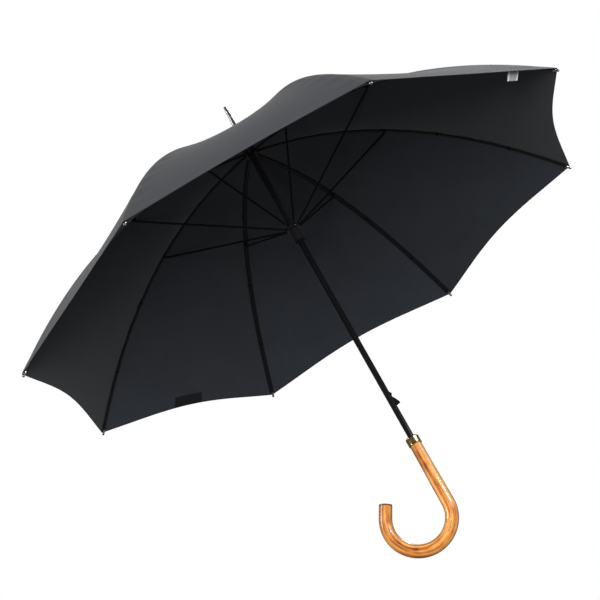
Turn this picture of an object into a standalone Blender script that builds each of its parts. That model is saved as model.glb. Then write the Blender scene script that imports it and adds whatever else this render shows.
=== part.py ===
"""Stick umbrella, open: steel shaft, eight curved ribs and stretchers, runner, coil opening spring, wooden crook handle.

Metres, +Z up along the shaft. The origin is on the shaft's axis in the middle of the grip. The crook bends in the XZ plane
towards -X, and the eight ribs stand at 22.5 degrees and every 45 degrees from there.
"""

import math

import bmesh
import bpy
from mathutils import Matrix

# Driving dimensions
RIBS = 8
FIRST_RIB = math.radians(22.5)
CANOPY_RADIUS = 0.525  # shaft axis to the end of a rib tip
CANOPY_DROP = 0.243  # notch wire to the end of a rib tip
CANOPY_POWER = 2.2  # how the dome falls with its radius
NOTCH_Z = 0.652  # height of the notch wire above the middle of the grip
RUNNER_DEPTH = 0.162  # notch wire to runner wire, canopy open
COLLAR_Z = 0.060
STRAIGHT_GRIP = 0.113  # collar's middle to the start of the crook
CROOK_RADIUS = 0.053
CROOK_SWEEP = math.radians(209)
CROOK_NOSE = 0.022  # straight end after the bend
GRIP_RADIUS = 0.0105
FERRULE_TOP = 0.1045  # notch wire to the ferrule's flat end
SHAFT_RADIUS = 0.0051
SHAFT_WALL = 0.0010
WIRE_RING_RADIUS = 0.011  # notch wire and runner wire
WIRE_RADIUS = 0.0006
JOINT_RADIUS = 0.2416  # shaft axis to a rib's joint rivet
JOINT_DROP = 0.0495  # notch wire to a rib's joint rivet
RIB_WIDTH = 0.0040
RIB_HEIGHT = 0.0032
RIB_SHEET = 0.0008
STRETCHER_WIDTH = 0.0036
STRETCHER_HEIGHT = 0.0030
TAB_THICKNESS = 0.0012
HEM_SCALLOP = 0.031  # how far the hem's middle draws in, as a share of the canopy radius
HEM_SAG = 0.0034  # how far a gore's middle hangs below the straight line between its ribs, at the hem
MID_SAG = 0.0110  # how much further it hangs half way up the gore
FABRIC = 0.0004
GAP = 0.0003
BUTTON_PIN_Z = 0.120
CATCH_Z = 0.411


def dome(r):
    """Height of a rib's centre line above the notch wire, at a distance from the shaft's axis."""
    return -CANOPY_DROP * (r / CANOPY_RADIUS) ** CANOPY_POWER


def dome_slope(r):
    """Angle of a rib's centre line below the horizontal."""
    return math.atan(CANOPY_POWER * CANOPY_DROP / CANOPY_RADIUS * (r / CANOPY_RADIUS) ** (CANOPY_POWER - 1))


# Scene, materials and the shared ways of making a sub-part


def start_scene():
    for old in list(bpy.data.objects):
        bpy.data.objects.remove(old, do_unlink=True)
    found = []
    for name in ("stick_umbrella", "cutters"):
        group = bpy.data.collections.new(name)
        bpy.context.scene.collection.children.link(group)
        found.append(group)
    return found


PARTS, CUTTERS = start_scene()


def finish_of(name, color, roughness, metallic=0.0):
    made = bpy.data.materials.get(name) or bpy.data.materials.new(name)
    made.use_nodes = True
    shader = made.node_tree.nodes["Principled BSDF"]
    shader.inputs["Base Color"].default_value = (*color, 1.0)
    shader.inputs["Roughness"].default_value = roughness
    shader.inputs["Metallic"].default_value = metallic
    return made


BLACK_STEEL = ((0.012, 0.012, 0.013), 0.25, 0.8)
BLACK_PLASTIC = ((0.012, 0.012, 0.013), 0.4, 0.0)
BRIGHT_STEEL = ((0.6, 0.6, 0.62), 0.25, 1.0)
BRASS = ((0.72, 0.5, 0.2), 0.2, 1.0)
WOOD = ((0.5, 0.22, 0.05), 0.3, 0.0)
CLOTH = ((0.02, 0.021, 0.024), 0.85, 0.0)
LABEL = ((0.75, 0.75, 0.76), 0.8, 0.0)


def new_part(name, mesh, look, group=None):
    made = bpy.data.objects.new(name, mesh)
    (group or PARTS).objects.link(made)
    if group is None:
        if not mesh.materials:
            mesh.materials.append(finish_of(name, *look))
        made.material_slots[0].link = "OBJECT"
        made.material_slots[0].material = finish_of(name, *look)
    else:
        made.hide_render = True
        made.display_type = "WIRE"
    return made


def frozen(source):
    """A plain mesh of an object as its modifiers show it, with its doubles merged; the object goes."""
    bpy.context.view_layer.update()
    evaluated = source.evaluated_get(bpy.context.evaluated_depsgraph_get())
    mesh = bpy.data.meshes.new_from_object(evaluated)
    mesh.transform(source.matrix_world)
    bpy.data.objects.remove(source, do_unlink=True)
    work = bmesh.new()
    work.from_mesh(mesh)
    bmesh.ops.remove_doubles(work, verts=work.verts, dist=1e-6)
    bmesh.ops.recalc_face_normals(work, faces=work.faces)
    work.to_mesh(mesh)
    work.free()
    mesh.materials.clear()
    return mesh


def smooth(made, angle=40):
    made.data.shade_smooth()
    made.data.set_sharp_from_angle(angle=math.radians(angle))
    return made


def turned(profile, sides=32):
    """A mesh turned about Z from (radius, height) points that run round a closed ring, anticlockwise seen from -Y."""
    mesh = bpy.data.meshes.new("turned")
    work = bmesh.new()
    loop = [work.verts.new((r, 0.0, z)) for r, z in profile]
    edges = [work.edges.new((a, b)) for a, b in zip(loop, loop[1:] + loop[:1])]
    bmesh.ops.spin(
        work, geom=loop + edges, cent=(0, 0, 0), axis=(0, 0, 1), angle=math.tau, steps=sides, use_merge=True
    )
    bmesh.ops.remove_doubles(work, verts=work.verts, dist=1e-6)
    bmesh.ops.recalc_face_normals(work, faces=work.faces)
    work.to_mesh(mesh)
    work.free()
    return mesh


def solid_turned(profile, sides=32):
    """A mesh turned about Z from (radius, height) points, closed at both ends on the axis."""
    mesh = bpy.data.meshes.new("turned")
    work = bmesh.new()
    loop = [work.verts.new((r, 0.0, z)) for r, z in profile]
    edges = [work.edges.new(pair) for pair in zip(loop, loop[1:])]
    bmesh.ops.spin(
        work, geom=loop + edges, cent=(0, 0, 0), axis=(0, 0, 1), angle=math.tau, steps=sides, use_merge=True
    )
    bmesh.ops.remove_doubles(work, verts=work.verts, dist=1e-6)
    bmesh.ops.recalc_face_normals(work, faces=work.faces)
    work.to_mesh(mesh)
    work.free()
    return mesh


def box_mesh(low, high):
    mesh = bpy.data.meshes.new("box")
    work = bmesh.new()
    bmesh.ops.create_cube(work, size=1.0)
    for vert in work.verts:
        vert.co = [a + (b - a) * (c + 0.5) for a, b, c in zip(low, high, vert.co)]
    work.to_mesh(mesh)
    work.free()
    return mesh


def rod_mesh(radius, low, high, axis="Y", x=0.0, z=0.0, sides=16):
    """A cylinder along Y or Z, from low to high on that axis."""
    mesh = bpy.data.meshes.new("rod")
    work = bmesh.new()
    bmesh.ops.create_cone(
        work, cap_ends=True, segments=sides, radius1=radius, radius2=radius, depth=high - low
    )
    for vert in work.verts:
        along = vert.co.z + (low + high) / 2
        if axis == "Y":
            vert.co = (x + vert.co.x, along, z - vert.co.y)
        else:
            vert.co = (x + vert.co.x, vert.co.y, along)
    bmesh.ops.recalc_face_normals(work, faces=work.faces)
    work.to_mesh(mesh)
    work.free()
    return mesh


def combine(mesh, *steps):
    """Unions and cuts a mesh with others in turn; each step is ("UNION" or "DIFFERENCE", mesh)."""
    base = new_part("combine_base", mesh, BLACK_STEEL)
    tools = []
    for operation, other in steps:
        tool = new_part("combine_tool", other, None, CUTTERS)
        tools.append(tool)
        change = base.modifiers.new(operation.lower(), "BOOLEAN")
        change.operation = operation
        change.solver = "EXACT"
        change.object = tool
    made = frozen(base)
    for tool in tools:
        bpy.data.objects.remove(tool, do_unlink=True)
    return made


def swept(points, radius, sides_level=2, tapers=None):
    """A round bar along points, with flat ends."""
    curve = bpy.data.curves.new("swept", "CURVE")
    curve.dimensions = "3D"
    curve.bevel_depth = radius
    curve.bevel_resolution = sides_level
    curve.use_fill_caps = True
    curve.render_resolution_u = 0
    line = curve.splines.new("POLY")
    line.points.add(len(points) - 1)
    for i, (point, place) in enumerate(zip(line.points, points)):
        point.co = (*place, 1.0)
        point.radius = tapers[i] if tapers else 1.0
    made = bpy.data.objects.new("swept", curve)
    PARTS.objects.link(made)
    return frozen(made)


def channel(points, width, height, sheet):
    """A U-shaped channel of folded sheet along points in the XZ plane, with its open side up and flat ends."""
    half, floor = width / 2, height / 2
    bend = [math.radians(a) for a in (195, 245, 295, 345)]
    outer = [(half * math.cos(a), -floor + half + half * math.sin(a)) for a in bend]
    inner_half = half - sheet
    inner = [(inner_half * math.cos(a), -floor + half + inner_half * math.sin(a)) for a in reversed(bend)]
    section = [(-half, floor), *outer, (half, floor), (inner_half, floor), *inner, (-inner_half, floor)]
    mesh = bpy.data.meshes.new("channel")
    work = bmesh.new()
    rings = []
    for i, (x, z) in enumerate(points):
        before, after = points[max(i - 1, 0)], points[min(i + 1, len(points) - 1)]
        lean = math.atan2(after[1] - before[1], after[0] - before[0])
        rings.append([work.verts.new((x - v * math.sin(lean), u, z + v * math.cos(lean))) for u, v in section])
    for first, second in zip(rings, rings[1:]):
        for j in range(len(section)):
            k = (j + 1) % len(section)
            work.faces.new((first[j], first[k], second[k], second[j]))
    work.faces.new(rings[0])
    work.faces.new(rings[-1])
    bmesh.ops.recalc_face_normals(work, faces=work.faces)
    bmesh.ops.triangulate(work, faces=[f for f in work.faces if len(f.verts) > 4])
    work.to_mesh(mesh)
    work.free()
    return mesh


# The shaft and what is fixed to it

TUBE_BOTTOM = COLLAR_Z - 0.038
TUBE_TOP = NOTCH_Z + 0.034


def shaft_tube():
    """Drawn steel tube, with a slot for the release button and a small one for the top catch, and the button pin's holes."""
    inner = SHAFT_RADIUS - SHAFT_WALL
    tube = turned(
        [(inner, TUBE_BOTTOM), (SHAFT_RADIUS, TUBE_BOTTOM), (SHAFT_RADIUS, TUBE_TOP), (inner, TUBE_TOP)], 24
    )
    button_slot = box_mesh((0.0, -0.0015, BUTTON_PIN_Z + 0.004), (0.008, 0.0015, BUTTON_PIN_Z + 0.036))
    catch_slot = box_mesh((-0.008, -0.0010, CATCH_Z - 0.012), (0.0, 0.0010, CATCH_Z + 0.006))
    pin_hole = rod_mesh(0.0011, -0.008, 0.008, "Y", 0.0015, BUTTON_PIN_Z, 12)
    mesh = combine(tube, ("DIFFERENCE", button_slot), ("DIFFERENCE", catch_slot), ("DIFFERENCE", pin_hole))
    return smooth(new_part("shaft_tube", mesh, BLACK_STEEL))


def grooved_hub(outer, bore, low, high, slot_inner, slot_low, slot_high):
    """A round hub with a wire groove at height 0 and eight slots for the tabs that turn on the wire."""
    groove_inner, half = WIRE_RING_RADIUS - WIRE_RADIUS - GAP, WIRE_RADIUS + GAP
    profile = [(bore, low), (outer, low), (outer, -half), (groove_inner, -half), (groove_inner, half), (outer, half)]
    hub = turned([*profile, (outer, high), (bore, high)], 32)
    cuts = []
    half_slot = TAB_THICKNESS / 2 + GAP
    for i in range(RIBS):
        slot = box_mesh((slot_inner, -half_slot, slot_low), (outer + 0.002, half_slot, slot_high))
        slot.transform(Matrix.Rotation(FIRST_RIB + i * math.tau / RIBS, 4, "Z"))
        cuts.append(("DIFFERENCE", slot))
    return combine(hub, *cuts)


def wire_ring(name, height):
    """The steel wire that is threaded through the eyes of the tabs and lies in the hub's groove."""
    mesh = bpy.data.meshes.new(name)
    work = bmesh.new()
    sides = 6
    ring = [
        work.verts.new(
            (
                WIRE_RING_RADIUS + WIRE_RADIUS * math.cos(math.tau * k / sides),
                0,
                WIRE_RADIUS * math.sin(math.tau * k / sides),
            )
        )
        for k in range(sides)
    ]
    edges = [work.edges.new((a, b)) for a, b in zip(ring, ring[1:] + ring[:1])]
    bmesh.ops.spin(work, geom=ring + edges, cent=(0, 0, 0), axis=(0, 0, 1), angle=math.tau, steps=24, use_merge=True)
    bmesh.ops.remove_doubles(work, verts=work.verts, dist=1e-6)
    bmesh.ops.recalc_face_normals(work, faces=work.faces)
    work.to_mesh(mesh)
    work.free()
    made = smooth(new_part(name, mesh, BRIGHT_STEEL))
    made.location.z = height
    return made


HUB_RADIUS = 0.0125


def top_notch():
    """The hub that holds the ribs' inner ends; its flange closes the slots from above."""
    mesh = grooved_hub(HUB_RADIUS, SHAFT_RADIUS + GAP, -0.0045, 0.0016, 0.0084, -0.006, 0.003)
    made = smooth(new_part("top_notch", mesh, BLACK_PLASTIC))
    made.location.z = NOTCH_Z
    return made


def top_cap():
    """Bell-shaped cap that presses the fabric's centre onto the notch."""
    z = NOTCH_Z + 0.0045
    bore = SHAFT_RADIUS + GAP
    profile = [(bore, z), (0.0125, z), (0.0125, z + 0.0010), (0.0105, z + 0.0035), (0.0085, z + 0.0080)]
    mesh = turned([*profile, (0.0080, z + 0.0100), (bore, z + 0.0100)], 24)
    return smooth(new_part("top_cap", mesh, BLACK_PLASTIC))


def crown_patch():
    """Round fabric washer between the canopy's top and the cap."""
    z = NOTCH_Z + 0.0034
    bore = SHAFT_RADIUS + GAP
    profile = [(bore, z), (0.013, z), (0.021, z - 0.0002), (0.021, z + 0.0006), (0.013, z + 0.0008), (bore, z + 0.0008)]
    return smooth(new_part("crown_patch", turned(profile, 24), CLOTH))


def ferrule():
    """Metal spike over the tube's upper end, with a flat nose."""
    z = NOTCH_Z + 0.0148
    top = NOTCH_Z + FERRULE_TOP
    bore = SHAFT_RADIUS + GAP
    outside = [(0.0068, z), (0.0068, z + 0.002), (0.0062, z + 0.004), (0.0060, z + 0.021), (0.0044, z + 0.036)]
    outside += [(0.0036, z + 0.062), (0.0030, top - 0.004), (0.0027, top - 0.0012), (0.0020, top)]
    inside = [(0.0, top), *reversed(outside), (bore, z), (bore, z + 0.0215), (0.0, z + 0.0215)]
    return smooth(new_part("ferrule", solid_turned(inside, 24), BRIGHT_STEEL))


def opening_spring():
    """Plain sleeve for the coil spring that hooks on the notch and pulls the runner up."""
    low, high = NOTCH_Z - RUNNER_DEPTH + 0.0038, NOTCH_Z - 0.0050
    mesh = turned([(0.0056, low), (0.0069, low), (0.0069, high), (0.0056, high)], 20)
    return smooth(new_part("opening_spring", mesh, BLACK_STEEL))


def runner_body():
    """Moulded runner: crown with the stretchers' slots, sleeve with a keyway for the top catch and a slot for the button."""
    crown = grooved_hub(HUB_RADIUS, SHAFT_RADIUS + GAP, -0.0036, 0.0032, 0.0084, -0.0024, 0.006)
    bore = SHAFT_RADIUS + GAP - 0.00005
    sleeve = turned([(bore, -0.0290), (0.0074, -0.0290), (0.0074, -0.0030), (bore, -0.0030)], 32)
    low, high = -0.032, 0.006
    keyway = box_mesh((-0.0066, -0.0013, low), (0.0, 0.0013, high))
    button_slot = box_mesh((0.0, -0.0015, low), (0.009, 0.0015, -0.014))
    mesh = combine(crown, ("UNION", sleeve), ("DIFFERENCE", keyway), ("DIFFERENCE", button_slot))
    made = smooth(new_part("runner", mesh, BLACK_PLASTIC))
    made.location.z = NOTCH_Z - RUNNER_DEPTH
    return made


def runner_end_ring():
    """Metal ring round the runner's lower end."""
    bore, low, high = 0.0077, -0.0322, -0.0290
    ring = turned([(0.0057, low), (0.0092, low), (0.0092, high + 0.0016), (bore, high + 0.0016), (bore, high - GAP)]
                  + [(0.0057, high - GAP)], 32)
    keyway = box_mesh((-0.0066, -0.0013, low - 0.002), (0.0, 0.0013, high + 0.001))
    button_slot = box_mesh((0.0, -0.0015, low - 0.002), (0.012, 0.0015, high + 0.004))
    mesh = combine(ring, ("DIFFERENCE", keyway), ("DIFFERENCE", button_slot))
    made = smooth(new_part("runner_end_ring", mesh, BLACK_STEEL))
    made.location.z = NOTCH_Z - RUNNER_DEPTH
    return made


# Ribs, stretchers and canopy; each is made once, with its hinge at the origin, and repeated round the shaft

STRETCHER_LENGTH = math.hypot(JOINT_RADIUS - WIRE_RING_RADIUS, RUNNER_DEPTH - JOINT_DROP)
STRETCHER_LEAN = math.asin((RUNNER_DEPTH - JOINT_DROP) / STRETCHER_LENGTH)
RIB_START = 0.0205
RIB_END = CANOPY_RADIUS - 0.0055
TAB_RADIUS = 0.0020
EYE_RADIUS = 0.0011


def tab_with_eye(length, thickness):
    """A flat bar from the origin along X, with a round end and an eye at the origin."""
    bar = box_mesh((0.0, -thickness / 2, -TAB_RADIUS * 0.8), (length, thickness / 2, TAB_RADIUS * 0.8))
    nose = rod_mesh(TAB_RADIUS, -thickness / 2 + 1e-5, thickness / 2 - 1e-5, "Y", 0.0, 0.0, 10)
    eye = rod_mesh(EYE_RADIUS, -0.005, 0.005, "Y", 0.0, 0.0, 8)
    return combine(bar, ("UNION", nose), ("DIFFERENCE", eye))


def rib_mesh():
    steps = 14
    line = [RIB_START + (RIB_END - RIB_START) * i / steps for i in range(steps + 1)]
    body = channel([(r - WIRE_RING_RADIUS, dome(r)) for r in line], RIB_WIDTH, RIB_HEIGHT, RIB_SHEET)
    return combine(body, ("UNION", tab_with_eye(RIB_START - WIRE_RING_RADIUS + 0.006, TAB_THICKNESS)))


def rib_tip_mesh():
    """Turned cap over a rib's outer end, its axis along the rib."""
    lean = dome_slope(CANOPY_RADIUS)
    length, bore_depth = 0.0105, 0.0058
    outside = [(0.0, 0.0), (0.0016, -0.0001), (0.0028, -0.0010), (0.0032, -0.0024), (0.0032, -length)]
    inside = [(0.0029, -length), (0.0029, -length + bore_depth), (0.0, -length + bore_depth)]
    mesh = solid_turned([*outside, *inside], 10)
    place = Matrix.Translation((CANOPY_RADIUS - WIRE_RING_RADIUS, 0, -CANOPY_DROP))
    mesh.transform(place @ Matrix.Rotation(math.pi / 2 + lean, 4, "Y"))
    return mesh


def rib_joint_mesh():
    """Saddle clip round a rib's underside, with the ear and the rivet that the stretcher turns on."""
    lean = dome_slope(JOINT_RADIUS)
    drop = (JOINT_DROP + dome(JOINT_RADIUS)) * math.cos(lean)  # rivet to the rib's centre line, square to the rib
    half_length, side, floor = 0.0045, RIB_WIDTH / 2 + GAP, RIB_HEIGHT / 2 + GAP
    wall = 0.0007
    saddle = box_mesh((-half_length, -side - wall, -floor - wall), (half_length, side + wall, RIB_HEIGHT / 2 - 0.0002))
    hollow = box_mesh((-0.01, -side, -floor), (0.01, side, 0.01))
    ear = box_mesh((-0.0017, -0.0007, -drop), (0.0017, 0.0007, -floor - wall / 2))
    rivet = rod_mesh(0.0008, -0.0022, 0.0022, "Y", 0.0, -drop, 8)
    nose = rod_mesh(0.0017, -0.00069, 0.00069, "Y", 0.0, -drop, 10)
    mesh = combine(saddle, ("DIFFERENCE", hollow), ("UNION", ear), ("UNION", nose), ("UNION", rivet))
    rivet_place = Matrix.Translation((JOINT_RADIUS - WIRE_RING_RADIUS, 0, -JOINT_DROP))
    mesh.transform(rivet_place @ Matrix.Rotation(lean, 4, "Y") @ Matrix.Translation((0, 0, drop)))
    return mesh


def stretcher_mesh():
    """Channel from the joint rivet at the origin to the runner wire on +X: forked at the rib, a tab at the runner."""
    far = STRETCHER_LENGTH
    body = channel([(-0.0016, 0), (0.0040, 0), (far - 0.0085, 0)], STRETCHER_WIDTH, STRETCHER_HEIGHT, 0.0007)
    fork = box_mesh((-0.01, -0.0010, -0.01), (0.0046, 0.0010, 0.01))
    rivet_hole = rod_mesh(0.00115, -0.005, 0.005, "Y", 0.0, 0.0, 8)
    tab = tab_with_eye(0.0125, TAB_THICKNESS)
    tab.transform(Matrix.Translation((far, 0, 0)) @ Matrix.Rotation(math.pi, 4, "Z"))
    return combine(body, ("DIFFERENCE", fork), ("DIFFERENCE", rivet_hole), ("UNION", tab))


PANEL_INNER = 0.0130
PANEL_LIFT = RIB_HEIGHT / 2 + 0.0012  # underside of the fabric above a rib's centre line, square to the rib
PANEL_RADIUS = CANOPY_RADIUS - 0.0085


def gore_point(share, side, lift):
    """A point of the canopy beside a rib that lies along X. share runs from 0 at the crown to 1 at the hem, and side from -1
    to 1 between the middles of the two gores. The fabric is straight across a gore, apart from its sag."""
    across = abs(side)  # 0 on the rib, 1 in the middle of the gore
    edge_gap = GAP / 2 / math.tan(math.pi / RIBS)
    draw = 1 - HEM_SCALLOP * (1 - (1 - across) ** 2) * share**4
    r = PANEL_INNER + (PANEL_RADIUS * draw - PANEL_INNER) * share
    half_turn = math.pi / RIBS
    chord_x, chord_y = r * math.cos(half_turn) ** 2, r * math.cos(half_turn) * math.sin(half_turn)
    x = r + (chord_x - r) * across
    y = (chord_y - edge_gap * math.sin(half_turn)) * across
    height = r / CANOPY_RADIUS
    depth = HEM_SAG * height**1.5 + MID_SAG * math.sin(math.pi * height) ** 2
    sag = depth * (1 - (1 - across) ** 2)
    slope = dome_slope(r)
    clear = RIB_WIDTH / 2 * math.tan(half_turn) * math.tan(slope)
    z = dome(r) + lift / math.cos(slope) + clear - sag
    return x - WIRE_RING_RADIUS, math.copysign(y, side), z


def panel_mesh():
    """Closed thin sheet over one rib, reaching to the middle of the gore on each side."""
    rows, columns = 14, 4
    mesh = bpy.data.meshes.new("panel")
    work = bmesh.new()
    grids = []
    for lift in (PANEL_LIFT, PANEL_LIFT + FABRIC):
        grid = []
        for i in range(rows + 1):
            row = [gore_point(i / rows, -1 + 2 * j / columns, lift) for j in range(columns + 1)]
            grid.append([work.verts.new(p) for p in row])
        grids.append(grid)
    for grid in grids:
        for i in range(rows):
            for j in range(columns):
                work.faces.new((grid[i][j], grid[i + 1][j], grid[i + 1][j + 1], grid[i][j + 1]))
    low, high = grids
    for i in range(rows):
        for j in (0, columns):
            work.faces.new((low[i][j], low[i + 1][j], high[i + 1][j], high[i][j]))
    for j in range(columns):
        for i in (0, rows):
            work.faces.new((low[i][j], low[i][j + 1], high[i][j + 1], high[i][j]))
    bmesh.ops.recalc_face_normals(work, faces=work.faces)
    work.to_mesh(mesh)
    work.free()
    return mesh


def empty_at(name, place, turn=0.0, parent=None):
    made = bpy.data.objects.new(name, None)
    PARTS.objects.link(made)
    made.parent = parent
    made.location = place
    made.rotation_euler = (0, 0, turn)
    return made


def rib_assemblies():
    """Eight ribs with tip, joint clip, fabric and stretcher; each rib's empty stands on the notch wire."""
    rib, tip, joint, stretcher, panel = (
        rib_mesh(),
        rib_tip_mesh(),
        rib_joint_mesh(),
        stretcher_mesh(),
        panel_mesh(),
    )
    pivots = []
    for i in range(RIBS):
        turn = FIRST_RIB + i * math.tau / RIBS
        place = (WIRE_RING_RADIUS * math.cos(turn), WIRE_RING_RADIUS * math.sin(turn), NOTCH_Z)
        pivot = empty_at(f"rib_{i + 1}_pivot", place, turn)
        pieces = (("rib", rib, BLACK_STEEL), ("rib_tip", tip, BRIGHT_STEEL), ("rib_joint", joint, BLACK_STEEL))
        for name, mesh, look in (*pieces, ("canopy_panel", panel, CLOTH)):
            made = smooth(new_part(f"{name}_{i + 1}", mesh, look), 30)
            made.parent = pivot
        rivet = empty_at(f"stretcher_{i + 1}_pivot", (JOINT_RADIUS - WIRE_RING_RADIUS, 0, -JOINT_DROP), 0.0, pivot)
        made = smooth(new_part(f"stretcher_{i + 1}", stretcher, BLACK_STEEL), 30)
        made.parent = rivet
        made.rotation_euler = (0, math.pi + -STRETCHER_LEAN, 0)
        pivots.append(pivot)
    return pivots


def panel_strip(name, rib_pivot, low, high, side_low, side_high, thickness, look, rows=4):
    """A small cloth piece sewn under a canopy panel, between two shares of its length and two of its width."""
    mesh = bpy.data.meshes.new(name)
    work = bmesh.new()
    layers = []
    for lift in (PANEL_LIFT - 3 * GAP - thickness, PANEL_LIFT - 3 * GAP):
        grid = []
        for i in range(rows + 1):
            share = low + (high - low) * i / rows
            sides = [side_low + (side_high - side_low) * j / rows for j in range(rows + 1)]
            grid.append([work.verts.new(gore_point(share, side, lift)) for side in sides])
        layers.append(grid)
    for grid in layers:
        for i in range(rows):
            for j in range(rows):
                work.faces.new((grid[i][j], grid[i + 1][j], grid[i + 1][j + 1], grid[i][j + 1]))
    under, over = layers
    for i in range(rows):
        for j in (0, rows):
            work.faces.new((under[i][j], under[i + 1][j], over[i + 1][j], over[i][j]))
            work.faces.new((under[j][i], under[j][i + 1], over[j][i + 1], over[j][i]))
    bmesh.ops.recalc_face_normals(work, faces=work.faces)
    work.to_mesh(mesh)
    work.free()
    made = new_part(name, mesh, look)
    made.parent = rib_pivot
    return made


def care_label(rib_pivot):
    """Folded tape sewn into the hem beside a rib; it stands off the canopy's underside."""
    near, far = gore_point(0.985, -0.41, PANEL_LIFT), gore_point(0.985, -0.31, PANEL_LIFT)
    inward = (-0.60 * math.cos(math.pi / RIBS) - 0.08, 0.60 * math.sin(math.pi / RIBS) - 0.20, -0.75)
    facing = (-0.75 * math.cos(math.pi / RIBS), 0.75 * math.sin(math.pi / RIBS), 0.66)
    mesh = bpy.data.meshes.new("care_label")
    work = bmesh.new()
    for reach in (0.0012, 0.0170):
        for half in (-0.0002, 0.0002):
            for corner in (near, far):
                work.verts.new([c + reach * i + half * f for c, i, f in zip(corner, inward, facing)])
    work.verts.ensure_lookup_table()
    for face in ((0, 1, 3, 2), (4, 5, 7, 6), (0, 1, 5, 4), (2, 3, 7, 6), (0, 2, 6, 4), (1, 3, 7, 5)):
        work.faces.new([work.verts[i] for i in face])
    bmesh.ops.recalc_face_normals(work, faces=work.faces)
    work.to_mesh(mesh)
    work.free()
    made = new_part("care_label", mesh, LABEL)
    made.parent = rib_pivot


# Handle, collar, button and catch

CROOK_Z = COLLAR_Z - STRAIGHT_GRIP


def crook_line(steps=24):
    """Points down the grip, round the bend and up the short straight nose."""
    top = COLLAR_Z - 0.0075
    points = [(0.0, 0.0, top), (0.0, 0.0, (top + CROOK_Z) / 2)]
    for i in range(steps + 1):
        a = CROOK_SWEEP * i / steps
        points.append((-CROOK_RADIUS + CROOK_RADIUS * math.cos(a), 0.0, CROOK_Z - CROOK_RADIUS * math.sin(a)))
    x, _, z = points[-1]
    a = CROOK_SWEEP
    points.append((x - CROOK_NOSE * math.sin(a), 0.0, z - CROOK_NOSE * math.cos(a)))
    return points


def handle():
    """Steam-bent wooden crook, drilled for the tube."""
    line = crook_line()
    swell = [0.95, 1.0, *[1.045] * (len(line) - 3), 1.01]
    bar = swept(line, GRIP_RADIUS, 5, swell)
    bore = rod_mesh(SHAFT_RADIUS + GAP, TUBE_BOTTOM - 0.002, COLLAR_Z, "Z", sides=24)
    return smooth(new_part("handle", combine(bar, ("DIFFERENCE", bore)), WOOD))


def collar():
    """Brass band over the joint of wood and tube, closed at the top but for the tube."""
    low, high = COLLAR_Z - 0.0072, COLLAR_Z + 0.0072
    bore = SHAFT_RADIUS + GAP
    outside = [(0.0108, low), (0.0115, low + 0.0006), (0.0115, high - 0.0016), (0.0108, high - 0.0004), (0.0100, high)]
    mesh = turned([(bore, low), *outside, (bore, high)], 32)
    return smooth(new_part("collar", mesh, BRASS))


def button_outline():
    """Side view of the release button, from its eye at the pin up to the catch tooth, as (x, height above the pin)."""
    lever = [(-0.0022, -0.0022), (0.0034, -0.0022), (0.0034, 0.0040), (0.0052, 0.0060)]
    thumb = [(0.0116, 0.0072), (0.0122, 0.0082), (0.0118, 0.0104), (0.0088, 0.0170), (0.0056, 0.0222), (0.0056, 0.0258)]
    tooth = [(0.0072, 0.0262), (0.0072, 0.0286), (0.0054, 0.0320), (0.0036, 0.0326)]
    return [*lever, *thumb, *tooth, (0.0020, 0.0300), (0.0008, 0.0060), (-0.0022, 0.0026)]


def plate(outline, thickness):
    """A flat plate in the XZ plane, centred on it."""
    mesh = bpy.data.meshes.new("plate")
    work = bmesh.new()
    face = work.faces.new([work.verts.new((x, -thickness / 2, z)) for x, z in outline])
    grown = bmesh.ops.extrude_face_region(work, geom=[face])
    bmesh.ops.translate(
        work, verts=[v for v in grown["geom"] if isinstance(v, bmesh.types.BMVert)], vec=(0, thickness, 0)
    )
    bmesh.ops.recalc_face_normals(work, faces=work.faces)
    bmesh.ops.triangulate(work, faces=[f for f in work.faces if len(f.verts) > 4])
    work.to_mesh(mesh)
    work.free()
    return mesh


BUTTON_PIN_X = 0.0015


def release_button():
    """Pressed steel lever on a cross pin: a thumb fin outside the tube and, above it, the tooth that holds the runner."""
    outline = [(x - BUTTON_PIN_X, z) for x, z in button_outline()]
    eye = rod_mesh(0.0011, -0.005, 0.005, "Y", 0.0, 0.0, 12)
    made = smooth(new_part("release_button", combine(plate(outline, 0.0022), ("DIFFERENCE", eye)), BLACK_STEEL))
    made.location = (BUTTON_PIN_X, 0.0, BUTTON_PIN_Z)
    return made


def button_pin():
    mesh = rod_mesh(0.0008, -0.0049, 0.0049, "Y", BUTTON_PIN_X, BUTTON_PIN_Z, 12)
    return smooth(new_part("button_pin", mesh, BRIGHT_STEEL))


def button_spring():
    """Bent wire spring inside the tube that pushes the button out."""
    mesh = swept(
        [(-0.0031, 0, BUTTON_PIN_Z + z) for z in (0.006, 0.012)]
        + [(-0.0028, 0, BUTTON_PIN_Z + 0.018), (-0.0016, 0, BUTTON_PIN_Z + 0.0225)],
        0.0005,
        2,
    )
    return smooth(new_part("button_spring", mesh, BRIGHT_STEEL))


def top_catch():
    """Bent wire in the tube's upper slot; its knee stands out and gives way when pressed."""
    points = [(0.0015, 0.0), (0.0008, 0.0040), (-0.0044, 0.0066), (-0.0056, 0.0080), (-0.0050, 0.0100)]
    points += [(-0.0012, 0.0135), (0.0000, 0.0165)]
    mesh = swept([(x, 0, CATCH_Z + 0.006 - z) for x, z in points], 0.0006, 2)
    made = smooth(new_part("top_catch", mesh, BRIGHT_STEEL))
    return made


def build():
    shaft_tube()
    top_notch()
    wire_ring("notch_wire", NOTCH_Z)
    top_cap()
    crown_patch()
    ferrule()
    opening_spring()
    runner_body()
    wire_ring("runner_wire", NOTCH_Z - RUNNER_DEPTH)
    runner_end_ring()
    pivots = rib_assemblies()
    care_label(pivots[7])
    panel_strip("tie_strap", pivots[3], 0.948, 0.985, -1.12, -0.80, 0.0008, CLOTH)
    handle()
    collar()
    release_button()
    button_pin()
    button_spring()
    top_catch()


build()
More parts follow.
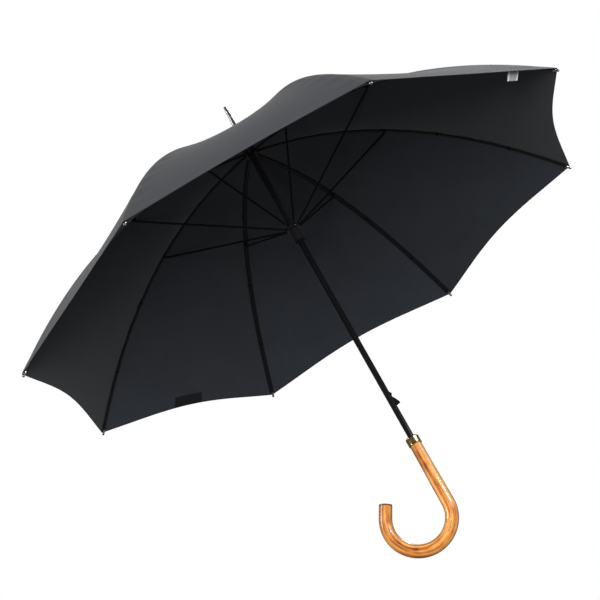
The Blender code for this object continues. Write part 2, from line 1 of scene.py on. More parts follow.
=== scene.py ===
"""Stick umbrella, open, seen from below: dark woven canopy on eight black steel ribs, coil opening spring on
a black steel shaft, bent wooden crook handle with a brass collar. Metres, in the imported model's frame."""

import math

import bmesh
import bpy
from mathutils import Matrix, Vector


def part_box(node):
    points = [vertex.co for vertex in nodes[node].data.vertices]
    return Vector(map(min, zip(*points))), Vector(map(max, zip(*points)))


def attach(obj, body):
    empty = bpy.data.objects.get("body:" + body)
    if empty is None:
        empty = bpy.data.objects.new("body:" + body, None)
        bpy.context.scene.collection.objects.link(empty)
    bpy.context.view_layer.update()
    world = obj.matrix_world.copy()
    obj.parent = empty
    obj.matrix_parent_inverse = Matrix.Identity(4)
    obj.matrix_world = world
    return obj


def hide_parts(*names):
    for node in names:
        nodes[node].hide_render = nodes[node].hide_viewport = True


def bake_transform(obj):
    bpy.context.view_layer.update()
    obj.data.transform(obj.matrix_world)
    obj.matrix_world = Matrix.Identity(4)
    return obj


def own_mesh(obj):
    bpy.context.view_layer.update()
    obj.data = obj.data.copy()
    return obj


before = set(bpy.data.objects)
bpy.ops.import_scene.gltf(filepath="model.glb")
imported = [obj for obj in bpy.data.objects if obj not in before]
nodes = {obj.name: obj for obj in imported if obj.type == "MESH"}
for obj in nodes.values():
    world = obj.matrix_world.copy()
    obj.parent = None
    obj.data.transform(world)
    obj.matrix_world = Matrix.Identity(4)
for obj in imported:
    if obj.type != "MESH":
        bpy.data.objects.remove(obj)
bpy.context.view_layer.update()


# Shaft tube: drawn steel tube, 10.2 mm thick, with black gloss enamel. Slots for the release button and the
# top catch are punched in it. It is glued into the handle below and carries the notch and the ferrule above.


class Wire:
    """One socket's value. Arithmetic on it adds Math nodes."""

    def __init__(self, graph, socket):
        self.graph, self.socket = graph, socket

    def math(self, operation, *others):
        inputs = dict(enumerate((self, *others)))
        return self.graph.add("ShaderNodeMath", {"operation": operation}, inputs)

    def __add__(self, other):
        return self.math("ADD", other)

    def __sub__(self, other):
        return self.math("SUBTRACT", other)

    def __mul__(self, other):
        return self.math("MULTIPLY", other)

    def __rsub__(self, other):
        return (self * -1.0) + other

    def band(self, low, high):
        """0 up to low, 1 from high, and a smooth rise between them."""
        inputs = {"Value": self, "From Min": low, "From Max": high}
        return self.graph.add("ShaderNodeMapRange", {"interpolation_type": "SMOOTHSTEP"}, inputs)


class Graph:
    """A node tree. add() makes one node: its settings come first, then its inputs, each a value or a Wire."""

    def __init__(self, tree):
        self.tree = tree

    def add(self, kind, settings=None, inputs=None, output=0):
        node = self.tree.nodes.new(kind)
        for name, value in (settings or {}).items():
            if name == "stops":
                self.set_stops(node.color_ramp, value)
            else:
                setattr(node, name, value)
        for key, value in (inputs or {}).items():
            if isinstance(value, Wire):
                self.tree.links.new(value.socket, node.inputs[key])
            else:
                node.inputs[key].default_value = value
        return Wire(self, node.outputs[output])

    @staticmethod
    def set_stops(ramp, stops):
        while len(ramp.elements) < len(stops):
            ramp.elements.new(1.0)
        for element, (position, color) in zip(ramp.elements, stops):
            element.position = position
            element.color = (*color, 1.0)


class Finish(Graph):
    """One material: it holds the constants of its surface and adds the nodes of what varies."""

    def __init__(self, name, **constants):
        self.material = bpy.data.materials.new(name)
        self.material.use_nodes = True
        super().__init__(self.material.node_tree)
        self.shader = self.tree.nodes["Principled BSDF"]
        for name, value in constants.items():
            self.shader.inputs[name.replace("_", " ").title().replace("Ior", "IOR")].default_value = value

    def vary(self, socket, wire):
        self.tree.links.new(wire.socket, self.shader.inputs[socket])

    def where(self):
        return self.add("ShaderNodeTexCoord", output="Object")

    def map(self, name):
        return self.add("ShaderNodeUVMap", {"uv_map": name})

    def stretched(self, vector, scale):
        return self.add("ShaderNodeMapping", None, {"Vector": vector, "Scale": scale})

    def noise(self, vector, scale, detail=2.0, roughness=0.5):
        inputs = {"Vector": vector, "Scale": scale, "Detail": detail, "Roughness": roughness}
        return self.add("ShaderNodeTexNoise", None, inputs)

    def part_of(self, vector, axis):
        return self.add("ShaderNodeSeparateXYZ", None, {"Vector": vector}, output=axis)

    def mixed(self, share, first, second):
        inputs = {0: share}
        for key, color in ((6, first), (7, second)):
            inputs[key] = color if isinstance(color, Wire) else (*color, 1.0)
        return self.add("ShaderNodeMix", {"data_type": "RGBA"}, inputs, output=2)

    def relief(self, height, distance, strength=1.0):
        inputs = {"Height": height, "Distance": distance, "Strength": strength}
        self.vary("Normal", self.add("ShaderNodeBump", None, inputs))


def repaint(name, finish):
    """A node of the frame whose shape is right keeps its mesh and takes the finish."""
    for slot in nodes[name].material_slots:
        slot.material = finish.material


black_enamel = Finish("black_enamel", base_color=(0.004, 0.004, 0.0045, 1), specular_ior_level=0.5)
speck = black_enamel.noise(black_enamel.where(), 900.0, 3.0)
wear = black_enamel.noise(black_enamel.where(), 60.0, 4.0)
black_enamel.vary("Roughness", (wear * 0.08) + 0.09)
black_enamel.relief(speck, 0.00001, 0.1)
repaint("shaft_tube", black_enamel)


# Handle: a round stick of hardwood, steamed and bent round a former, drilled for the shaft, stained honey
# brown with scorched streaks and varnished. It swells a little in the bend, and its nose is cut square and
# scorched.

wood = Finish("varnished_wood", coat_weight=1.0, coat_roughness=0.05, coat_ior=1.5)
grain_place = wood.add("ShaderNodeAttribute", {"attribute_name": "grain"}, output="Vector")
fibres = wood.noise(wood.stretched(grain_place, (900.0, 900.0, 26.0)), 1.0, 3.0, 0.6)
streaks = wood.noise(wood.stretched(grain_place, (190.0, 190.0, 11.0)), 1.0, 3.0, 0.55)
clouds = wood.noise(wood.stretched(grain_place, (60.0, 60.0, 34.0)), 1.0, 3.0, 0.6)
scorched, brown = (0.10, 0.024, 0.005), (0.36, 0.115, 0.022)
amber, pale_wood = (0.60, 0.26, 0.060), (0.82, 0.46, 0.15)
figure = (streaks * 0.55) + (clouds * 0.3) + (fibres * 0.2)
stain = [(0.39, scorched), (0.48, brown), (0.57, amber), (0.68, pale_wood)]
honey = wood.add("ShaderNodeValToRGB", {"stops": stain}, {"Fac": figure})

collar_low, collar_high = (corner.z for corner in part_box("collar"))
joint_gap = 0.0003
handle_top = collar_low - joint_gap
collar_half, straight_grip = 0.0072, 0.113
crook_z = collar_low + collar_half - straight_grip
crook_radius, crook_sweep, crook_nose = 0.053, math.radians(209), 0.022
handle_length = (handle_top - crook_z) + crook_radius * crook_sweep + crook_nose

along = wood.part_of(grain_place, 2)
burnt_nose = along.band(handle_length - 0.0042, handle_length - 0.0018)
burnt_spots = clouds.band(0.56, 0.68) * streaks.band(0.48, 0.60)
long_lines = wood.noise(wood.stretched(grain_place, (420.0, 420.0, 7.0)), 1.0, 2.0, 0.4).band(0.56, 0.68)
scorch = (burnt_nose * 0.9) + (burnt_spots * 0.6) + (fibres.band(0.58, 0.74) * 0.3) + (long_lines * 0.6)
wood.vary("Base Color", wood.mixed(scorch.math("MINIMUM", 1.0), honey, (0.060, 0.016, 0.004)))
wood.vary("Roughness", (fibres * 0.2) + 0.28)
wood.relief(fibres + streaks, 0.00012, 0.3)


def crook_place(s):
    """Point and direction on the handle's centre line, s metres down from its top."""
    straight = handle_top - crook_z
    bend = crook_radius * crook_sweep
    if s <= straight:
        return Vector((0, 0, handle_top - s)), Vector((0, 0, -1))
    a = min((s - straight) / crook_radius, crook_sweep)
    middle = Vector((-crook_radius + crook_radius * math.cos(a), 0, crook_z - crook_radius * math.sin(a)))
    ahead = Vector((-math.sin(a), 0, -math.cos(a)))
    return middle + ahead * max(0.0, s - straight - bend), ahead


grip_thin, grip_swell, swell_reach = 0.0099, 0.0011, 0.12
nose_taper, taper_start, taper_reach = 0.0004, 0.26, 0.09


def grip_radius(s):
    """The stick is thinnest at the collar, swells into the bend and tapers a little to its nose."""
    share = min(max(s / swell_reach, 0.0), 1.0)
    late = min(max((s - taper_start) / taper_reach, 0.0), 1.0)
    return grip_thin + grip_swell * share * share * (3 - 2 * share) - nose_taper * late


def piece(name, mesh, finish, body, stands_for=(), sharp=35):
    """One finished piece: its mesh is in place, it rides on a body, and it stands for nodes of the frame."""
    made = bpy.data.objects.new(name, mesh)
    bpy.context.scene.collection.objects.link(made)
    mesh.materials.clear()
    mesh.materials.append(finish.material)
    mesh.shade_smooth()
    mesh.set_sharp_from_angle(angle=math.radians(sharp))
    if body:
        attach(made, body)
    if stands_for:
        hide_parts(*stands_for)
    return made


def closed_mesh(name, verts, faces, uvs=None):
    """A mesh from points and faces, with its doubles merged and its faces turned outwards. uvs gives each
    point its place on the cloth."""
    mesh = bpy.data.meshes.new(name)
    mesh.from_pydata([tuple(v) for v in verts], [], faces)
    if uvs:
        for map_name, places in uvs.items():
            layer = mesh.uv_layers.new(name=map_name)
            for loop in mesh.loops:
                layer.data[loop.index].uv = places[loop.vertex_index]
    work = bmesh.new()
    work.from_mesh(mesh)
    bmesh.ops.remove_doubles(work, verts=work.verts, dist=1e-6)
    bmesh.ops.recalc_face_normals(work, faces=work.faces)
    work.to_mesh(mesh)
    work.free()
    return mesh


def lofted(name, rings, uv_rings=None):
    """A closed skin over rings of points, flat at both ends."""
    count = len(rings[0])
    verts = [p for ring in rings for p in ring]
    faces = []
    for i in range(len(rings) - 1):
        for j in range(count):
            k = (j + 1) % count
            faces.append((i * count + j, i * count + k, (i + 1) * count + k, (i + 1) * count + j))
    faces.append(tuple(range(count)))
    faces.append(tuple((len(rings) - 1) * count + j for j in range(count)))
    return closed_mesh(name, verts, faces, uv_rings)


nose_round, nose_shrink = 0.0012, 0.11
handle_steps, nose_steps = 148, 4
rings = [((handle_length - 0.0016) * i / handle_steps, 1.0) for i in range(handle_steps + 1)]
for i in range(nose_steps + 1):
    t = math.pi / 2 * i / nose_steps
    rings.append((handle_length - nose_round + nose_round * math.sin(t), 1 - nose_shrink * (1 - math.cos(t))))
handle_rings, grain, sides = [], [], 48
for s, share in rings:
    middle, ahead = crook_place(s)
    side = ahead.cross(Vector((0, 1, 0)))
    r = grip_radius(s) * share
    ring = []
    for j in range(sides):
        a = math.tau * j / sides
        ring.append(middle + side * (r * math.cos(a)) + Vector((0, 1, 0)) * (r * math.sin(a)))
        grain.append((r * math.cos(a), r * math.sin(a), s))
    handle_rings.append(ring)
handle_mesh = lofted("handle_wood", handle_rings)
layer = handle_mesh.attributes.new("grain", "FLOAT_VECTOR", "POINT")
for value, place in zip(layer.data, grain):
    value.vector = place
piece("handle_wood", handle_mesh, wood, "stick", ["handle"])


# Collar: polished brass band pressed over the joint of the wood and the tube. Each edge has a rolled bead,
# and the top is turned in to the tube.


def turned(name, profile, sides):
    """A mesh turned about the shaft's axis from a closed ring of (radius, height) points."""
    verts, faces = [], []
    for i in range(sides):
        a = math.tau * i / sides
        verts += [(r * math.cos(a), r * math.sin(a), h) for r, h in profile]
    count = len(profile)
    for i in range(sides):
        for j in range(count):
            k, n = (j + 1) % count, (i + 1) % sides
            faces.append((i * count + j, i * count + k, n * count + k, n * count + j))
    return closed_mesh(name, verts, faces)


def rounded(profile, radius, steps=3):
    """The same closed ring of points with its corners rounded."""
    made = []
    for before, corner, after in zip(profile[-1:] + profile[:-1], profile, profile[1:] + profile[:1]):
        c, b, a = Vector(corner), Vector(before), Vector(after)
        reach = min(radius, (b - c).length * 0.45, (a - c).length * 0.45)
        if reach < 1e-6 or (b - c).angle(a - c, math.pi) > 2.9:
            made.append(corner)
            continue
        first, last = c + (b - c).normalized() * reach, c + (a - c).normalized() * reach
        for i in range(steps + 1):
            t = i / steps
            made.append(tuple(first * (1 - t) ** 2 + c * 2 * t * (1 - t) + last * t**2))
    return made


brass = Finish("polished_brass", base_color=(0.78, 0.55, 0.22, 1), metallic=1.0)
tarnish = brass.noise(brass.where(), 240.0, 4.0, 0.6)
brass.vary("Roughness", (tarnish * 0.08) + 0.1)
brass.vary("Base Color", brass.mixed(tarnish.band(0.55, 0.85), (0.86, 0.66, 0.32), (0.55, 0.36, 0.14)))
band = [
    (0.0054, collar_low),
    (0.0112, collar_low),
    (0.0116, collar_low + 0.0008),
    (0.0112, collar_low + 0.0018),
    (0.0113, collar_low + 0.0070),
    (0.0112, collar_high - 0.0030),
    (0.0116, collar_high - 0.0021),
    (0.0112, collar_high - 0.0012),
    (0.0103, collar_high - 0.0002),
    (0.0060, collar_high),
    (0.0054, collar_high),
]
piece("collar_brass", turned("collar_brass", rounded(band, 0.0005), 72), brass, "stick", ["collar"])


# Ferrule: nickel-plated spike pushed over the shaft's upper end, with a flat nose to stand on.

nickel = Finish("nickel_plate", base_color=(0.72, 0.72, 0.74, 1), metallic=1.0)
scuffs = nickel.noise(nickel.stretched(nickel.where(), (1.0, 1.0, 0.15)), 420.0, 4.0, 0.6)
nickel.vary("Roughness", (scuffs * 0.2) + 0.12)
nickel.relief(scuffs, 0.00002, 0.3)
foot, nose = (corner.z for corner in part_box("ferrule"))
spike = [
    (0.0, nose),
    (0.0020, nose),
    (0.0026, nose - 0.0008),
    (0.0028, nose - 0.0030),
    (0.0031, nose - 0.0100),
    (0.0037, nose - 0.0280),
    (0.0044, nose - 0.0520),
    (0.0060, nose - 0.0660),
    (0.0062, foot + 0.0044),
    (0.0062, foot + 0.0040),
    (0.0068, foot + 0.0028),
    (0.0068, foot + 0.0004),
    (0.0064, foot),
    (0.0054, foot),
    (0.0054, foot + 0.0215),
    (0.0, foot + 0.0215),
]
piece("ferrule_nickel", turned("ferrule_nickel", spike, 48), nickel, "stick", ["ferrule"])


# Notch, cap and runner: moulded black plastic. Steel wires threaded round the notch and the runner hold the
# ribs' and the stretchers' eyes, and a black steel ring finishes the runner's lower end.

black_moulding = Finish("black_moulding", base_color=(0.009, 0.009, 0.010, 1))
pores = black_moulding.noise(black_moulding.where(), 1400.0, 3.0)
black_moulding.vary("Roughness", (pores * 0.2) + 0.24)
black_moulding.relief(pores, 0.00003, 0.3)
wire_steel = Finish("wire_steel", base_color=(0.5, 0.5, 0.52, 1), metallic=1.0)
wire_steel.vary("Roughness", (wire_steel.noise(wire_steel.where(), 800.0) * 0.3) + 0.15)
for name in ("top_notch", "top_cap", "runner"):
    repaint(name, black_moulding)
for name in ("notch_wire", "runner_wire", "button_pin", "button_spring", "top_catch"):
    repaint(name, wire_steel)
for name in ("runner_end_ring", "release_button"):
    repaint(name, black_enamel)


# Ribs: steel strip rolled into a narrow U, open side up under the cloth, bent to the dome and enamelled
# black. The inner end is pressed flat and pierced for the notch wire. The first of the eight stands 22.5
# degrees from +X, and the dome falls away from the notch as a power of the distance from the shaft.

RIBS = 8
notch_z = sum(corner.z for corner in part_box("notch_wire")) / 2
canopy_radius, canopy_drop, dome_power = 0.525, 0.243, 2.2


def rib_angle(number):
    """Where rib number 1 to 8 stands round the shaft."""
    return (number - 0.5) * math.tau / RIBS


def dome(r):
    """Height of a rib's centre line, at a distance from the shaft's axis."""
    return notch_z - canopy_drop * (r / canopy_radius) ** dome_power


def dome_slope(r):
    """Fall of a rib's centre line, as an angle."""
    return math.atan(dome_power * canopy_drop / canopy_radius * (r / canopy_radius) ** 1.2)


def channel_section(width, height, sheet, bends=8):
    """Outline of the U, as (across, up) points."""
    half, floor = width / 2, height / 2
    turns = [math.pi + math.pi * i / bends for i in range(bends + 1)]
    outer = [(half * math.cos(a), -floor + half + half * math.sin(a)) for a in turns]
    small = half - sheet
    inner = [(small * math.cos(a), -floor + half + small * math.sin(a)) for a in reversed(turns)]
    lip = floor - sheet * 0.2
    left = [(-small, lip), (-half + sheet / 2, floor), (-half, lip)]
    right = [(half, lip), (half - sheet / 2, floor), (small, lip)]
    return [*left, *outer, *right, *inner]


rib_start, rib_end, eye_r, rib_steps = 0.0175, canopy_radius - 0.0055, 0.011, 96
section = channel_section(width=0.0040, height=0.0032, sheet=0.0006)
rib_rings = []
for i in range(rib_steps + 1):
    r = rib_start + (rib_end - rib_start) * i / rib_steps
    lean = dome_slope(r)
    rib_rings.append([Vector((r + v * math.sin(lean), u, dome(r) + v * math.cos(lean))) for u, v in section])
rib_mesh = lofted("rib_channel", rib_rings)


def flat_tab(name, eye, reach, thickness=0.0012, outer=0.0019, hole=0.0011):
    """Flattened end of a strip: a plate from its eye outwards, with the eye's hole through it."""
    outline, inside = [], []
    for i in range(24):
        a = math.pi / 2 + math.pi * i / 23
        outline.append((eye[0] + outer * math.cos(a), eye[1] + outer * math.sin(a)))
    outline += [(eye[0] + reach, eye[1] - outer * 0.8), (eye[0] + reach, eye[1] + outer * 0.8)]
    count = len(outline)
    for x, z in outline:
        away = Vector((x - eye[0], z - eye[1])).normalized() * hole
        inside.append((eye[0] + away.x, eye[1] + away.y))
    verts = []
    for y in (-thickness / 2, thickness / 2):
        verts += [(x, y, z) for x, z in outline] + [(x, y, z) for x, z in inside]
    faces = []
    for i in range(count):
        k = (i + 1) % count
        low, high = 0, 2 * count
        faces.append((low + i, low + k, low + count + k, low + count + i))
        faces.append((high + i, high + k, high + count + k, high + count + i))
        faces.append((low + i, low + k, high + k, high + i))
        faces.append((low + count + i, low + count + k, high + count + k, high + count + i))
    return closed_mesh(name, verts, faces)


rib_tab = flat_tab("rib_tab", (eye_r, notch_z), reach=0.0100)


def joined(name, meshes):
    """Several meshes as one."""
    work = bmesh.new()
    for mesh in meshes:
        work.from_mesh(mesh)
    made = bpy.data.meshes.new(name)
    work.to_mesh(made)
    work.free()
    return made


def at_rib(mesh, number):
    """A copy of a mesh made along +X, turned to stand at a rib."""
    made = mesh.copy()
    made.transform(Matrix.Rotation(rib_angle(number), 4, "Z"))
    return made


whole_rib = joined("rib_steel", [rib_mesh, rib_tab])
for number in range(1, RIBS + 1):
    body = f"rib_{number}"
    piece(f"rib_steel_{number}", at_rib(whole_rib, number), black_enamel, body, [body])
    repaint(f"rib_joint_{number}", black_enamel)
    repaint(f"stretcher_{number}", black_enamel)


# Rib tips: small turned caps of nickel-plated steel pushed over the ribs' outer ends. Each has a waist with
# the hole that the canopy's corner is sewn through, and a round nose.

tip_lean = dome_slope(canopy_radius)
tip_profile = [
    (0.0, 0.0),
    (0.0012, -0.0001),
    (0.0019, -0.0006),
    (0.0023, -0.0014),
    (0.0024, -0.0024),
    (0.0022, -0.0034),
    (0.0019, -0.0040),
    (0.0019, -0.0048),
    (0.0024, -0.0054),
    (0.0027, -0.0062),
    (0.0028, -0.0100),
    (0.0027, -0.0105),
    (0.0024, -0.0105),
    (0.0024, -0.0056),
    (0.0, -0.0056),
]
tip_mesh = turned("rib_tip_cap", tip_profile, 32)
tip_turn = Matrix.Rotation(math.pi / 2 + tip_lean, 4, "Y")
tip_mesh.transform(Matrix.Translation((canopy_radius, 0, dome(canopy_radius))) @ tip_turn)
for number in range(1, RIBS + 1):
    body = f"rib_{number}"
    made = at_rib(tip_mesh, number)
    piece(f"rib_tip_cap_{number}", made, nickel, body, [f"rib_tip_{number}"])


# Opening spring: black spring-steel wire wound round the shaft between the notch and the runner. It is
# stretched while the canopy is closed, and its coils draw the runner up.

spring_wire = Finish("spring_wire", base_color=(0.012, 0.012, 0.013, 1), coat_weight=0.5, coat_roughness=0.15)
spring_wire.vary("Roughness", (spring_wire.noise(spring_wire.where(), 700.0, 3.0) * 0.2) + 0.2)
spring_low, spring_high = (corner.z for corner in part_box("opening_spring"))


class Maker(Graph):
    """A Geometry Nodes tree with named inputs. close() gives its shape the finish and sends it out."""

    def __init__(self, name, **kinds):
        super().__init__(bpy.data.node_groups.new(name, "GeometryNodeTree"))
        kinds["Finish"] = "Material"
        for socket, kind in kinds.items():
            socket = socket.replace("_", " ")
            self.tree.interface.new_socket(socket, in_out="INPUT", socket_type=f"NodeSocket{kind}")
        self.tree.interface.new_socket("Geometry", in_out="OUTPUT", socket_type="NodeSocketGeometry")
        entry = self.tree.nodes.new("NodeGroupInput")
        self.inlet = {socket.name: Wire(self, socket) for socket in entry.outputs}

    def close(self, shape):
        real = self.add("GeometryNodeRealizeInstances", None, {"Geometry": shape})
        inputs = {"Geometry": real, "Material": self.inlet["Finish"]}
        coated = self.add("GeometryNodeSetMaterial", None, inputs)
        self.tree.links.new(coated.socket, self.tree.nodes.new("NodeGroupOutput").inputs["Geometry"])


winding = Maker("spring_winding", Turns="Float", Coil_Radius="Float", Length="Float", Wire_Radius="Float")
inlet = winding.inlet
helix = winding.add(
    "GeometryNodeCurveSpiral",
    None,
    {
        "Resolution": 20,
        "Rotations": inlet["Turns"],
        "Start Radius": inlet["Coil Radius"],
        "End Radius": inlet["Coil Radius"],
        "Height": inlet["Length"],
    },
)
gauge = {"Resolution": 8, "Radius": inlet["Wire Radius"]}
round_wire = winding.add("GeometryNodeCurvePrimitiveCircle", None, gauge)
swept = {"Curve": helix, "Profile Curve": round_wire, "Fill Caps": True}
wound = winding.add("GeometryNodeCurveToMesh", None, swept)
winding.close(wound)


def grown(name, tree, values):
    """The mesh that a Geometry Nodes tree makes with these named inputs."""
    host = bpy.data.objects.new(name, bpy.data.meshes.new(name))
    bpy.context.scene.collection.objects.link(host)
    modifier = host.modifiers.new(name, "NODES")
    modifier.node_group = tree
    for item in tree.interface.items_tree:
        if item.name in values:
            modifier[item.identifier] = values[item.name]
    bpy.context.view_layer.update()
    mesh = bpy.data.meshes.new_from_object(host.evaluated_get(bpy.context.evaluated_depsgraph_get()))
    bpy.data.objects.remove(host, do_unlink=True)
    work = bmesh.new()
    work.from_mesh(mesh)
    bmesh.ops.remove_doubles(work, verts=work.verts, dist=1e-6)
    bmesh.ops.recalc_face_normals(work, faces=work.faces)
    work.to_mesh(mesh)
    work.free()
    return mesh


spring_end = 0.0006
spring_values = {
    "Turns": 62.0,
    "Coil Radius": 0.00625,
    "Length": spring_high - spring_low - 2 * spring_end,
    "Wire Radius": 0.00058,
    "Finish": spring_wire.material,
}
spring_mesh = grown("opening_coil", winding.tree, spring_values)
spring_mesh.transform(Matrix.Translation((0, 0, spring_low + spring_end)))
spring = piece("opening_coil", spring_mesh, spring_wire, None, ["opening_spring"], sharp=80)
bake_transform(spring)


# Canopy: near-black pongee, a plain weave of fine polyester, cut in eight gores and sewn together along the
# ribs with a narrow flat hem. Each rib carries the cloth from the middle of one gore to the middle of the
# next, in three strips.

thread_pitch, stitch_pitch, seam_stitch, hem_stitch_line = 0.0007, 0.0026, 0.0024, 0.0062
cloth = Finish("pongee", sheen_weight=0.08, sheen_roughness=0.5, specular_ior_level=0.2)
place = cloth.map("cloth")
across_cloth, down_cloth = cloth.part_of(place, 0), cloth.part_of(place, 1)
warp = (across_cloth * (math.tau / thread_pitch)).math("SINE")
weft = (down_cloth * (math.tau / thread_pitch)).math("SINE")
weave = (warp * weft * 0.5) + 0.5
slubs_down = cloth.noise(cloth.stretched(place, (900.0, 22.0, 1.0)), 1.0, 3.0)
slubs_across = cloth.noise(cloth.stretched(place, (22.0, 900.0, 1.0)), 1.0, 3.0)
drape = cloth.noise(place, 9.0, 3.0)
under = cloth.part_of(cloth.map("hem"), 1)
from_rib = across_cloth.math("ABSOLUTE")
# Painted shade: beside each rib the cloth is drawn near-black, in full on its underside and a fifth as much
# on top. The band stands partly for the doubled seam allowance and partly for the rib's shadow on the cloth.
seam_and_rib_shade = (1.0 - from_rib.band(0.0042, 0.0056)) * (under * 0.8 + 0.2)
stitch_line = 1.0 - (from_rib - seam_stitch).math("ABSOLUTE").band(0.0002, 0.0005)
stitch = stitch_line * (down_cloth * (math.tau / stitch_pitch)).math("SINE").band(-0.2, 0.3)
hem_place = cloth.part_of(cloth.map("hem"), 0)
hem_line = 1.0 - (hem_place - hem_stitch_line).math("ABSOLUTE").band(0.0002, 0.0006)
hem_edge = 1.0 - hem_place.band(0.0012, 0.0026)
hem_stitch = hem_line * (across_cloth * (math.tau / stitch_pitch)).math("SINE").band(-0.2, 0.3)
tone = (slubs_down * 0.35) + (slubs_across * 0.35) + (drape * 0.3)
ground = cloth.mixed(tone.band(0.35, 0.68), (0.0185, 0.0212, 0.0262), (0.0250, 0.0284, 0.0345))
# The painted shade along the ribs, the hem's stitch line and the hem's edge are all mixed towards near-black.
seam_shade_and_hem = ((seam_and_rib_shade * 0.9) + (hem_line * 0.3) + (hem_edge * 0.8)).math("MINIMUM", 1.0)
sewn_and_shaded = cloth.mixed(seam_shade_and_hem, ground, (0.0022, 0.0023, 0.0028))
cloth.vary("Base Color", cloth.mixed((stitch + hem_stitch) * 0.5, sewn_and_shaded, (0.040, 0.042, 0.046)))
cloth.vary("Roughness", (tone * 0.2) + 0.62)
cloth.relief((weave * 0.25) + (tone * 0.5) + (stitch + hem_stitch) * 0.8, 0.00012, 0.5)

half_gore = math.pi / RIBS
cloth_start, cloth_end = 0.0062, canopy_radius - 0.0004
hem_scallop, hem_sag, mid_sag = 0.0295, 0.0034, 0.0135
rib_half_width, rib_clear, tip_clear, tip_zone, tip_ramp = 0.0020, 0.0024, 0.0006, 0.022, 0.010
pucker_height, pucker_waves, pucker_place, pucker_width = 0.0007, 26, 0.012, 0.010
cloth_gauge, hem_fold, hem_depth = 0.00035, 0.0004, 0.0065


def canopy_place(share, side):
    """Point on the canopy's underside beside a rib along +X, its place on the cloth and its distance from the
    hem's edge. share runs from the crown to the hem, and side from -1 to 1 between the two gores' middles."""
    across = abs(side)
    bow = 1 - (1 - across) ** 2
    cut = hem_scallop * (0.62 * bow + 0.38 * across * across * (3 - 2 * across))
    r = cloth_start + (cloth_end * (1 - cut * share**4) - cloth_start) * share
    edge = cloth_end * (1 - cut)
    x = r - r * math.sin(half_gore) ** 2 * across
    y = r * math.cos(half_gore) * math.sin(half_gore) * across
    slope = dome_slope(r)
    clear = rib_half_width * math.tan(half_gore) * math.tan(slope)
    over_tip = min(max((r - canopy_radius + tip_zone) / tip_ramp, 0.0), 1.0)
    lift = (rib_clear + tip_clear * over_tip) / math.cos(slope) + clear * (1 - across)
    beside = math.exp(-(((y - pucker_place) / pucker_width) ** 2))
    pucker = pucker_height * math.sin(pucker_waves * share * math.pi) * beside * min(1.0, share * 3)
    height = r / canopy_radius
    sag = (hem_sag * height**1.5 + mid_sag * math.sin(math.pi * height) ** 2) * bow
    z = dome(r) + lift - sag + pucker * (y > 0.002)
    ground = math.hypot(r, notch_z - dome(r))
    return (x, math.copysign(y, side), z), (math.copysign(y, side), ground), (edge - r) / math.cos(slope)


def slab_faces(rows, columns):
    """Faces of a closed slab: two layers of a grid of points, and the walls at its four edges."""
    count, size = columns + 1, (rows + 1) * (columns + 1)
    faces = []
    for i in range(rows):
        for j in range(columns):
            a, b, c, d = i * count + j, (i + 1) * count + j, (i + 1) * count + j + 1, i * count + j + 1
            faces.append((a, b, c, d))
            faces.append((size + a, size + d, size + c, size + b))
    for i in range(rows):
        for j in (0, columns):
            a, b = i * count + j, (i + 1) * count + j
            faces.append((a, b, size + b, size + a))
    for j in range(columns):
        for i in (0, rows):
            a, b = i * count + j, i * count + j + 1
            faces.append((a, b, size + b, size + a))
    return faces


def sector_mesh():
    """The cloth over one rib, with its hem turned under."""
    rows, columns = 90, 32
    shares = [(i / rows) ** 0.9 for i in range(rows - 2)]
    shares += [0.9825, 0.9868, 0.9874, 0.9935, 1.0]
    count = columns + 1
    verts, places, hems = [], [], []
    for layer in (0, 1):
        for share in shares:
            for j in range(count):
                spot, flat, inset = canopy_place(share, -1 + 2 * j / columns)
                fold = hem_fold if inset < hem_depth else 0.0
                rise = cloth_gauge if layer else -fold
                verts.append((spot[0], spot[1], spot[2] + rise))
                places.append(flat)
                hems.append((inset, 0.0 if layer else 1.0))
    faces = slab_faces(len(shares) - 1, columns)
    return closed_mesh("canopy_cloth", verts, faces, {"cloth": places, "hem": hems})


def between(mesh, name, low, high):
    """The part of a closed mesh between two distances beside the rib, with its cuts closed."""
    work = bmesh.new()
    work.from_mesh(mesh)
    for place, outwards in ((low, -1), (high, 1)):
        if place is None:
            continue
        whole = [*work.verts, *work.edges, *work.faces]
        plane = {"plane_co": (0, place, 0), "plane_no": (0, outwards, 0)}
        cut = bmesh.ops.bisect_plane(work, geom=whole, clear_outer=True, **plane)
        rim = [e for e in cut["geom_cut"] if isinstance(e, bmesh.types.BMEdge)]
        bmesh.ops.holes_fill(work, edges=rim, sides=0)
    bmesh.ops.triangulate(work, faces=[f for f in work.faces if len(f.verts) > 4])
    made = bpy.data.meshes.new(name)
    work.to_mesh(made)
    work.free()
    return made


# The cloth over each rib is cut into three strips at the pleat lines. near_keep, about half, and far_keep are
# the shares of its width meant to stay beside the rib and further out as it folds; they give only an anchor,
# which gathered() works out and does not use.

pleat_line, near_keep, far_keep = 0.060, 0.52, 0.05
pleat_anchor = pleat_line * (near_keep - far_keep) / (1 - far_keep)


def gathered(made, number, side):
    """Gives the piece its own mesh. side is 0 beside the rib, -1 or 1 past a pleat line."""
    turn = rib_angle(number)
    tangent = Vector((-math.sin(turn), math.cos(turn), 0))
    anchor = tangent * (pleat_anchor * side) + Vector((0, 0, notch_z))
    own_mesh(made)


sector = sector_mesh()
strips = (
    ("canopy_cloth", 0, between(sector, "middle_strip", -pleat_line, pleat_line), (0.120, 0.60), 0.0581),
    ("canopy_left", -1, between(sector, "left_strip", None, -pleat_line), (0.150, 0.45), 0.0272),
    ("canopy_right", 1, between(sector, "right_strip", pleat_line, None), (0.150, 0.45), 0.0272),
)
for number in range(1, RIBS + 1):
    for strip_name, side, mesh, flat, area in strips:
        made = at_rib(mesh, number)
        stands_for = [f"canopy_panel_{number}"]
        panel = piece(f"{strip_name}_{number}", made, cloth, f"rib_{number}", stands_for, 40)
        gathered(panel, number, side)


# Crown patch: a disc of the same cloth between the cap and the canopy's centre.

